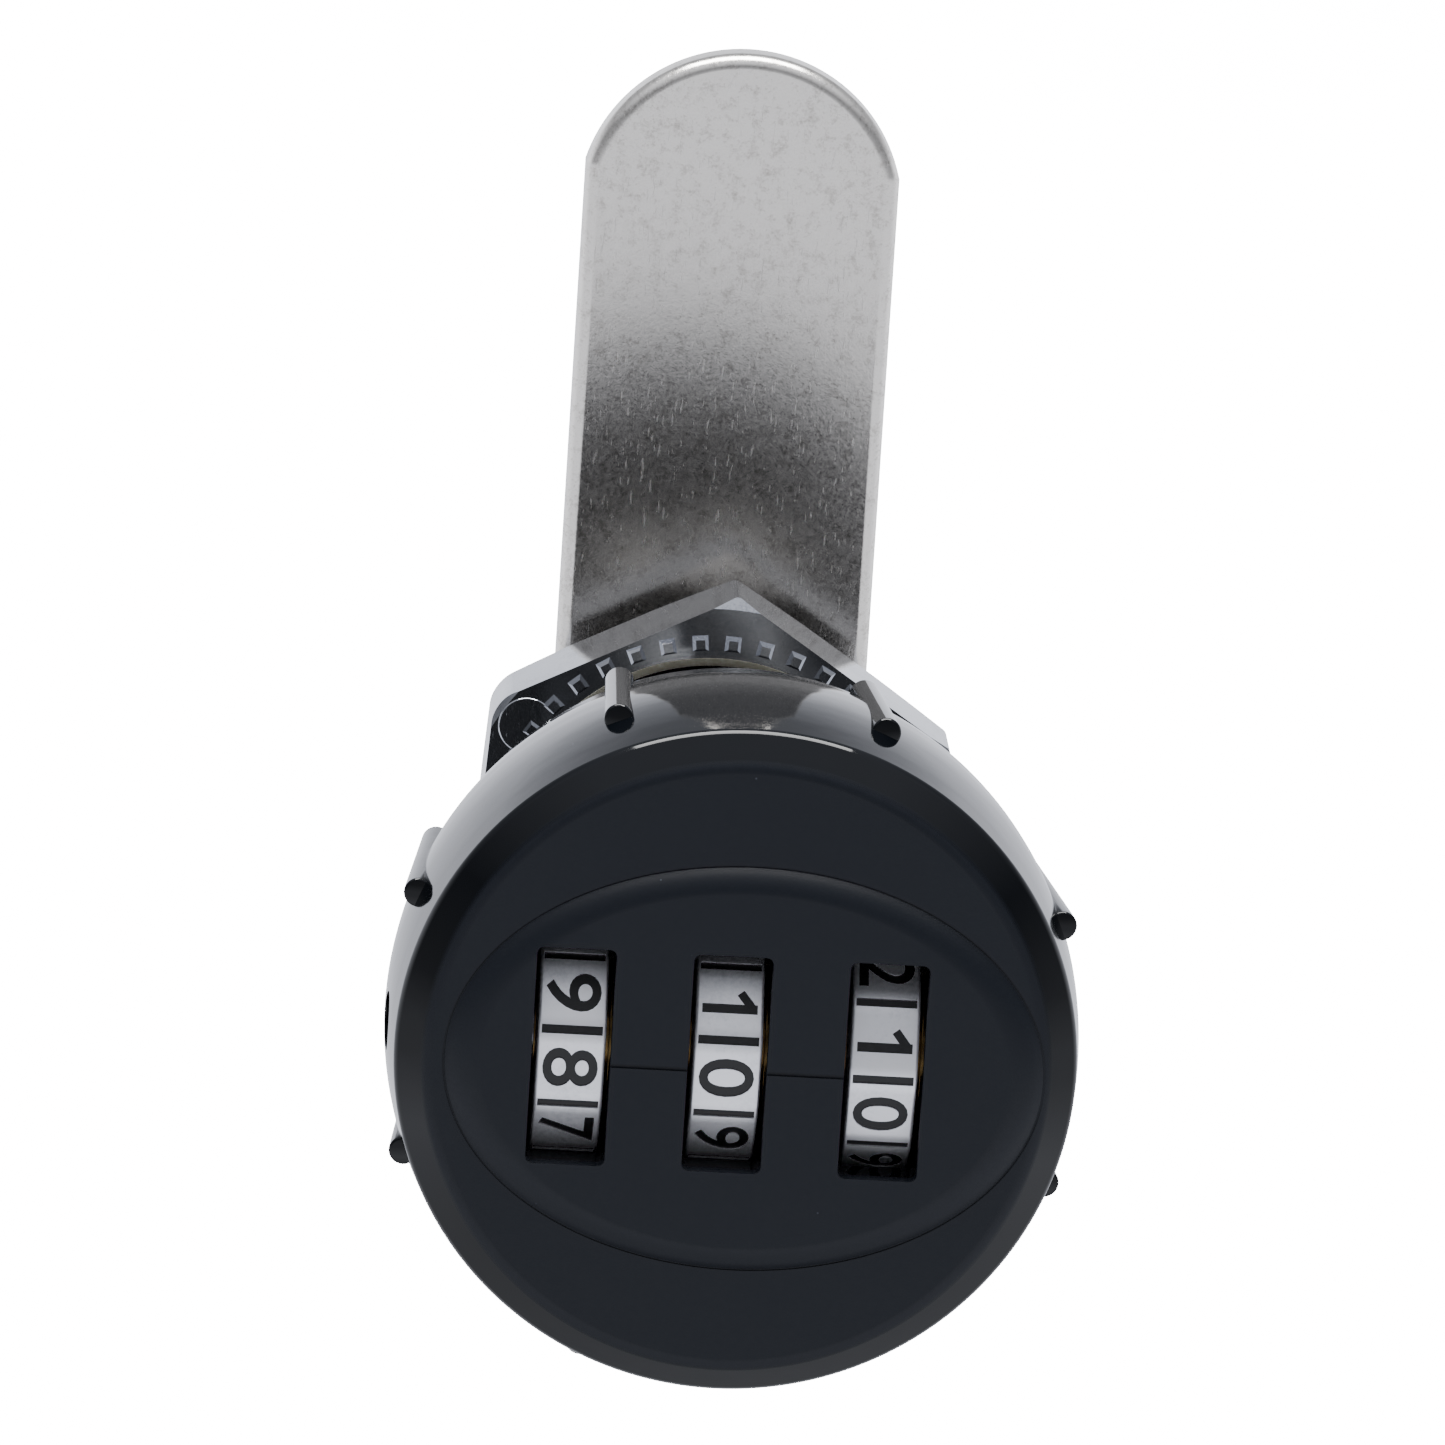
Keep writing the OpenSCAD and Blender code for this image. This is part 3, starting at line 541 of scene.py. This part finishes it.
# %% Ribs, windows, bosses and holes
def cover_rib(turn):
    lean = math.atan((KNOB_R + BELLY - RIB_REAR_R) / RIB_LENGTH)
    rib = rod("Y", RIB_R, -RIB_LENGTH / 2, RIB_LENGTH / 2, segments=32)
    front = [e for e in rib.edges if all(v.co.y < 0 for v in e.verts)]
    soften(rib, 0.14, front)
    middle_r = RIB_REAR_R + RIB_LENGTH / 2 * math.tan(lean)
    place = Matrix.Translation((middle_r, RIM_Y - 0.05 - RIB_LENGTH / 2, 0))
    return shifted(rib, Matrix.Rotation(turn, 4, "Y") @ place @ Matrix.Rotation(lean, 4, "Z"))


def window_cutter(x):
    hole = slab((WINDOW_W, 6, WINDOW_H), (x, FACE_Y, WINDOW_LIFT))
    upright = [e for e in hole.edges if abs((e.verts[0].co - e.verts[1].co).y) > 1]
    return soften(hole, WINDOW_CORNER, upright, segments=6)


def bosses(radius, start, end):
    angles = [math.radians(a) for a in BOSS_ANGLES]
    return together([rod("Y", radius, start, end, segments=32,
                         at=(BOSS_RING_R * math.cos(a), BOSS_RING_R * math.sin(a))) for a in angles])


def index_groove(left, right):
    return slab((right - left, 2 * INDEX_DEPTH, INDEX_H), ((left + right) / 2, PAD_Y, 0))


# %% Cover casting
cover = combine(cover_cup(), cover_pad(), "UNION")
ribs = [cover_rib(math.tau * (i + 0.5) / RIB_COUNT) for i in range(RIB_COUNT)]
cover = combine(cover, together(ribs), "UNION")
cover = combine(cover, bosses(BOSS_R, INSIDE_Y - 0.05, plate_low.y), "UNION")
cover = combine(cover, pad_groove(), "DIFFERENCE")
cover = combine(cover, together([index_groove(*DIAL_X[:2]), index_groove(*DIAL_X[1:])]), "DIFFERENCE")
holes = [window_cutter(x) for x in DIAL_X]
holes += [rod("X", RESET_HOLE_R, -KNOB_R - 2, -RIM_R + 3, at=(AXIS_Y, 0))]
holes += [bosses(PILOT_R, plate_low.y - PILOT_DEPTH, plate_low.y + 1)]
cover = combine(cover, together(holes), "DIFFERENCE")
lacquer = black_lacquer(FACE_Y)
casting = finished("knob_cover_casting", cover, lacquer, "knob", ["knob_cover"])
rounding = casting.modifiers.new("edge_rounding", "BEVEL")
rounding.limit_method = "ANGLE"
rounding.angle_limit = math.radians(50)
rounding.width = 0.07 * MM
rounding.segments = 2
casting.modifiers.move(1, 0)

# %% [markdown]
# ## Number rings
# A ring has ten flat facets with well rounded corners, one digit on each facet and a line at each corner.
# The digits stand sideways, with their tops to the right, and count upwards. Nine come from Blender's own
# plain font. Its one is a bare bar, so that digit is built from a stem and a flag. Each digit is cut into
# the metal, and a thin slug of enamel lies at the bottom of the cut.

# %% Ring sizes
DIAL_R = 6.0
FACETS = 10
FACET_ANGLE = math.tau / FACETS
FACET_DEPTH = DIAL_R * math.cos(FACET_ANGLE / 2)
RING_WIDTH = 3.2
RING_BORE_R = 2.4
DIGIT_HEIGHT, DIGIT_WIDTH, STROKE = 2.6, 1.9, 0.46
LINE_LENGTH, LINE_WIDTH = 2.86, 0.42
CUT_DEPTH, PAINT_SINK = 0.16, 0.06
RINGS = [("dial_1", 8, -3.0), ("dial_2", 0, -4.25), ("dial_3", 1, 17.0)]


# %% Digits and lines
def font_digit(character, depth):
    """A digit of the plain font as a solid of the stated height and width, centred on the origin."""
    text = bpy.data.curves.new("digit", "FONT")
    text.body = character
    text.resolution_u = 5
    text.offset = 0.014
    text.extrude = depth / 2
    holder = bpy.data.objects.new("digit", text)
    bpy.context.scene.collection.objects.link(holder)
    bpy.context.view_layer.update()
    mesh = bpy.data.meshes.new_from_object(holder.evaluated_get(bpy.context.evaluated_depsgraph_get()))
    bm = bmesh.new()
    bm.from_mesh(mesh)
    bpy.data.meshes.remove(mesh)
    bpy.data.objects.remove(holder)
    bpy.data.curves.remove(text)
    bmesh.ops.remove_doubles(bm, verts=bm.verts, dist=1e-4)
    low = Vector(min(v.co[k] for v in bm.verts) for k in range(3))
    high = Vector(max(v.co[k] for v in bm.verts) for k in range(3))
    bmesh.ops.translate(bm, vec=-(low + high) / 2, verts=bm.verts)
    fit = (DIGIT_WIDTH / (high.x - low.x), DIGIT_HEIGHT / (high.y - low.y), 1)
    bmesh.ops.scale(bm, vec=fit, verts=bm.verts)
    return bm


def flagged_one(depth):
    stem = slab((STROKE, DIGIT_HEIGHT, depth), (0.3, 0, 0))
    flag = slab((1.1, STROKE * 0.9, depth))
    shifted(flag, Matrix.Translation((-0.06, DIGIT_HEIGHT / 2 - 0.47, 0)) @ Matrix.Rotation(0.66, 4, "Z"))
    flag = combine(flag, slab((2, DIGIT_HEIGHT, 2 * depth), (-0.55, 0, 0)), "INTERSECT")
    return combine(stem, flag, "UNION")


SIDEWAYS = Matrix(((0, 1, 0, 0), (0, 0, -1, 0), (-1, 0, 0, 0), (0, 0, 0, 1)))


def digit_block(digit, sink, depth):
    """A digit lying sideways on the front facet. Sink is how deep its top lies."""
    block = flagged_one(depth) if digit == 1 else font_digit(str(digit), depth)
    return shifted(block, Matrix.Translation((0, -FACET_DEPTH + sink + depth / 2, 0)) @ SIDEWAYS)


def line_block(sink, depth):
    """The line at a corner between two facets."""
    return slab((LINE_LENGTH, depth, LINE_WIDTH), (0, -DIAL_R + 0.17 + sink + depth / 2, 0))


def marks(sink, depth):
    """All digits and lines of a ring, each turned up to its place."""
    blocks = [shifted(digit_block(d, sink, depth), Matrix.Rotation(-d * FACET_ANGLE, 4, "X"))
              for d in range(FACETS)]
    blocks += [shifted(line_block(sink, depth), Matrix.Rotation(-(d + 0.5) * FACET_ANGLE, 4, "X"))
               for d in range(FACETS)]
    return together(blocks)


# %% Ring body
def ring_blank():
    blank = rod("X", DIAL_R, -RING_WIDTH / 2, RING_WIDTH / 2, segments=FACETS)
    corner = max(blank.verts, key=lambda v: -v.co.y)
    off = math.atan2(corner.co.z, -corner.co.y)
    shifted(blank, Matrix.Rotation(off + FACET_ANGLE / 2, 4, "X"))
    corners = [e for e in blank.edges if abs((e.verts[0].co - e.verts[1].co).x) > 1]
    soften(blank, 0.7, corners, segments=6)
    rims = [e for e in blank.edges if e.calc_face_angle(0) > math.radians(60)]
    return soften(blank, 0.16, rims)


ring = combine(ring_blank(), rod("X", RING_BORE_R, -RING_WIDTH, RING_WIDTH), "DIFFERENCE")
ring = combine(ring, marks(-0.4, CUT_DEPTH + 0.4), "DIFFERENCE")
paint = marks(PAINT_SINK, CUT_DEPTH - PAINT_SINK)

# %% Three dials from one ring
for i, (body, shown, tilt) in enumerate(RINGS):
    turn = Matrix.Rotation(shown * FACET_ANGLE - math.radians(tilt), 4, "X")
    place = Matrix.Translation((DIAL_X[i], AXIS_Y, 0)) @ turn
    finished(f"{body}_ring", shifted(ring.copy(), place), dial_chrome, body, [f"dial_ring_{i + 1}"])
    finished(f"{body}_digits", shifted(paint.copy(), place), digit_enamel, body)

# %% [markdown]
# ## Mounting nut
# The nut is pressed from hexagon stock and plated. Its corners are turned to a cone. The face towards the
# panel has a ring of small square teeth that bite into the panel, a wide chamfer at the bore, and one corner
# that is round and carries a flat ejector mark.

# %% Nut
NUT_ANGLE = math.radians(3.36)
NUT_Y1 = nut_high.y
NUT_Y0 = NUT_Y1 - 5.0
NUT_HALF = 11.45
NUT_CORNER_R = NUT_HALF / math.cos(math.radians(30))
NUT_BORE_R, NUT_CHAMFER = 9.56, 0.55
TEETH, TOOTH_RING_R, TOOTH_BASE, TOOTH_TOP, TOOTH_RISE = 42, 10.85, 0.84, 0.46, 0.35
MARK_R, MARK_REACH, MARK_CORNER, MARK_ANGLE = 1.42, 11.2, 1.9, math.radians(150)


def tooth(turn):
    """A square stub with sloping sides that stands out of the front face."""
    low = NUT_Y0 - TOOTH_RISE
    stub = rod("Y", TOOTH_TOP / math.sqrt(2), low, NUT_Y0 + 0.05, end_radius=TOOTH_BASE / math.sqrt(2),
               segments=4)
    shifted(stub, Matrix.Rotation(math.radians(45), 4, "Y"))
    return shifted(stub, Matrix.Rotation(turn, 4, "Y") @ Matrix.Translation((0, 0, TOOTH_RING_R)))


def nut_body():
    body = rod("Y", NUT_CORNER_R, NUT_Y0, NUT_Y1, segments=6)
    corner = max(body.verts, key=lambda v: v.co.z)
    shifted(body, Matrix.Rotation(-math.atan2(corner.co.x, corner.co.z), 4, "Y"))
    uprights = [e for e in body.edges if abs((e.verts[0].co - e.verts[1].co).y) > 1]
    marked = [e for e in uprights if e.verts[0].co.x < -5 and e.verts[0].co.z > 1]
    soften(body, MARK_CORNER * math.tan(math.radians(30)), marked, segments=10)
    plain = [e for e in uprights if e.is_valid and e not in marked]
    soften(body, 0.2, plain)
    cone = lathe([(0, NUT_Y0, 0), (NUT_HALF + 1.15, NUT_Y0, 0), (NUT_CORNER_R, NUT_Y0 + 0.45, 0),
                  (NUT_CORNER_R, NUT_Y1 - 0.8, 0), (NUT_HALF + 0.2, NUT_Y1, 0), (0, NUT_Y1, 0)])
    body = combine(body, cone, "INTERSECT")
    mouth = NUT_BORE_R + NUT_CHAMFER
    bore = lathe([(0, NUT_Y0 - 1, 0), (mouth + 1, NUT_Y0 - 1, 0), (NUT_BORE_R, NUT_Y0 + NUT_CHAMFER, 0.1),
                  (NUT_BORE_R, NUT_Y1 - 0.4, 0), (NUT_BORE_R + 0.6, NUT_Y1 + 0.2, 0), (0, NUT_Y1 + 0.2, 0)])
    return combine(body, bore, "DIFFERENCE")


def ejector_mark():
    disc = rod("Y", MARK_R, NUT_Y0 - 0.1, NUT_Y0 + 1, segments=64)
    soften(disc, 0.07, [e for e in disc.edges if all(v.co.y < NUT_Y0 for v in e.verts)])
    place = (MARK_REACH * math.cos(MARK_ANGLE), 0, MARK_REACH * math.sin(MARK_ANGLE))
    return shifted(disc, Matrix.Translation(place))


nut = soften(nut_body(), 0.14, angle=20, segments=3)
nut = combine(nut, together([tooth(math.tau * k / TEETH) for k in range(TEETH)]), "UNION")
nut = combine(nut, ejector_mark(), "UNION")
finished("hex_nut", shifted(nut, Matrix.Rotation(NUT_ANGLE, 4, "Y")), nut_zinc, "housing", ["mounting_nut"])
# A thin pale ring in the bore chamfer, painted highlight for the bright ring of light there.
lip = lathe([(NUT_BORE_R + 0.02, NUT_Y0 + 0.5, 0), (NUT_BORE_R + 0.5, NUT_Y0 + 0.02, 0),
             (NUT_BORE_R + 0.56, NUT_Y0 + 0.06, 0), (NUT_BORE_R + 0.08, NUT_Y0 + 0.56, 0)])
finished("nut_chamfer_painted_highlight", lip, painted_chamfer_highlight, "housing")

# %% [markdown]
# ## Barrel
# The barrel is a lacquered casting with a cut thread. Its black is partly its own lacquer and partly painted
# shade for the shadow behind the knob. A tube is spun with several rings for each turn of the thread, and
# each point then moves in or out to the height of the thread at its own angle. That makes a true helix on a
# closed mesh. The two flats that stop the barrel turning in its hole are pressed in the same way.

# %% Barrel
THREAD_R, PITCH, THREAD_DEPTH, FLATS_HALF = 9.5, 1.0, 0.54, 8.0
RINGS_PER_TURN = 8
BORE_R = 5.58
FLANGE_R, FLANGE_T = (barrel_high.x - barrel_low.x) / 2, -barrel_low.y
NECK, TAIL_END = 1.0, barrel_high.y


def thread_radius(turn, y):
    """Radius of the thread at an angle and a depth. The neck is plain and the end runs out."""
    phase = (y / PITCH + turn / math.tau) % 1
    height = min(max(abs(2 * phase - 1) * 1.5 - 0.25, 0), 1)
    if y < NECK:
        height = 1
    fade = min(max((TAIL_END - 0.3 - y) / 0.6, 0), 1)
    return THREAD_R - THREAD_DEPTH + THREAD_DEPTH * height * fade


rows = int((TAIL_END - 0.05) / PITCH * RINGS_PER_TURN)
wall = [(THREAD_R, 0.05 + k * (TAIL_END - 0.05) / rows, 0) for k in range(rows + 1)]
flange = [(BORE_R, -FLANGE_T, 0.1), (FLANGE_R, -FLANGE_T, 0.15), (FLANGE_R, 0, 0.2), (THREAD_R, 0, 0)]
tube = lathe(flange + wall + [(BORE_R, TAIL_END, 0.2)], segments=120)
for v in tube.verts:
    out = math.hypot(v.co.x, v.co.z)
    if v.co.y > -0.01 and abs(out - THREAD_R) < 0.01:
        radius = thread_radius(math.atan2(v.co.z, v.co.x), v.co.y)
        v.co.x, v.co.z = v.co.x * radius / out, v.co.z * radius / out
        v.co.x = max(min(v.co.x, FLATS_HALF), -FLATS_HALF)
# The barrel's black coat is partly its own lacquer and partly painted shade for the shadow behind the knob.
finished("threaded_barrel", tube, barrel_black_with_painted_shade, "housing", ["barrel"], smooth=40)

# %% [markdown]
# ## Cam
# The cam is punched from 2 mm strip. Its outline is the hull of a round foot and a slightly wider round tip,
# trimmed by two straight cuts, so a small corner shows where tip and side meet. Punching rolls the front
# edge over, which shows as a bright rim, and leaves the back edge sharp.

# %% Cam
CAM_HALF, CAM_TIP_R, CAM_TOP = 7.83, 8.13, cam_high.z
SQUARE_HALF = 3.55

def cam_blank():
    """The hull of foot and tip, trimmed to the width of the strip."""
    hull = together([rod("Y", CAM_HALF, cam_low.y, cam_high.y, segments=96),
                     rod("Y", CAM_TIP_R, cam_low.y, cam_high.y, segments=120, at=(0, CAM_TOP - CAM_TIP_R))])
    bmesh.ops.delete(hull, geom=hull.faces[:], context="FACES_ONLY")
    made = bmesh.ops.convex_hull(hull, input=hull.verts)
    bmesh.ops.delete(hull, geom=[g for g in made["geom_interior"] if isinstance(g, bmesh.types.BMVert)],
                     context="VERTS")
    bmesh.ops.dissolve_limit(hull, angle_limit=math.radians(0.4), verts=hull.verts, edges=hull.edges)
    return combine(hull, slab((2 * CAM_HALF, 10, 120), (0, cam_low.y, 0)), "INTERSECT")


plate = cam_blank()
bmesh.ops.dissolve_limit(plate, angle_limit=math.radians(0.4), verts=plate.verts, edges=plate.edges)
outline = [e for e in plate.edges if e.calc_face_angle(0) > math.radians(60)]
front_rim = [e for e in outline if all(v.co.y < cam_low.y + 0.1 for v in e.verts)]
soften(plate, 0.7, front_rim, segments=6)
back_rim = [e for e in plate.edges if e.calc_face_angle(0) > math.radians(60)]
soften(plate, 0.08, back_rim, segments=2)
hole = slab((2 * SQUARE_HALF, 6, 2 * SQUARE_HALF), (0, cam_low.y, 0))
finished("cam_plate", combine(plate, hole, "DIFFERENCE"), cam_nickel, "knob", ["cam"])

# %% [markdown]
# ## Small turned and pressed parts
# Washers and the bolt are already the right shape in the CAD model, but their edges are perfectly sharp.
# A copy of each is merged into one skin and its edges are broken by a few hundredths of a millimetre, as
# tumbling does to real ones.


# %% Softened copies of CAD parts
def from_cad(name, node, finish, width=0.06):
    bm = bmesh.new()
    bm.from_mesh(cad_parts[node].data)
    bmesh.ops.scale(bm, vec=(1 / MM,) * 3, verts=bm.verts)
    bmesh.ops.remove_doubles(bm, verts=bm.verts, dist=1e-3)
    bmesh.ops.dissolve_limit(bm, angle_limit=math.radians(0.5), verts=bm.verts, edges=bm.edges)
    finished(name, soften(bm, width, angle=35), finish, "knob", [node])


from_cad("lug_washer", "stop_washer", washer_steel)
from_cad("split_washer", "spring_washer", spring_steel, 0.04)
from_cad("hex_bolt", "cam_bolt", bolt_nickel, 0.1)

# %% [markdown]
# ## Inner parts
# These parts keep their CAD shape. Most of them are seen only through the windows or past the rim, so each
# needs a true finish and nothing more.

# %% Finishes for the CAD nodes that stay
INNER = {
    "dial_carrier": cast_zinc, "back_plate": washer_steel, "cover_screws": bolt_nickel,
    "gate_sleeve_1": turned_brass, "gate_sleeve_2": turned_brass, "gate_sleeve_3": turned_brass,
    "dial_shaft": ground_steel, "shaft_clips": spring_steel, "detent_spring": spring_steel,
    "detent_rivets": turned_brass, "locking_bar": ground_steel, "spindle": cast_zinc,
    "thrust_washer": nylon, "reset_spring": spring_steel, "bar_springs": spring_steel,
}
for node, finish in INNER.items():
    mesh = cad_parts[node].data
    mesh.materials.clear()
    mesh.materials.append(finish)
print("CAD nodes that stay:", len(INNER))
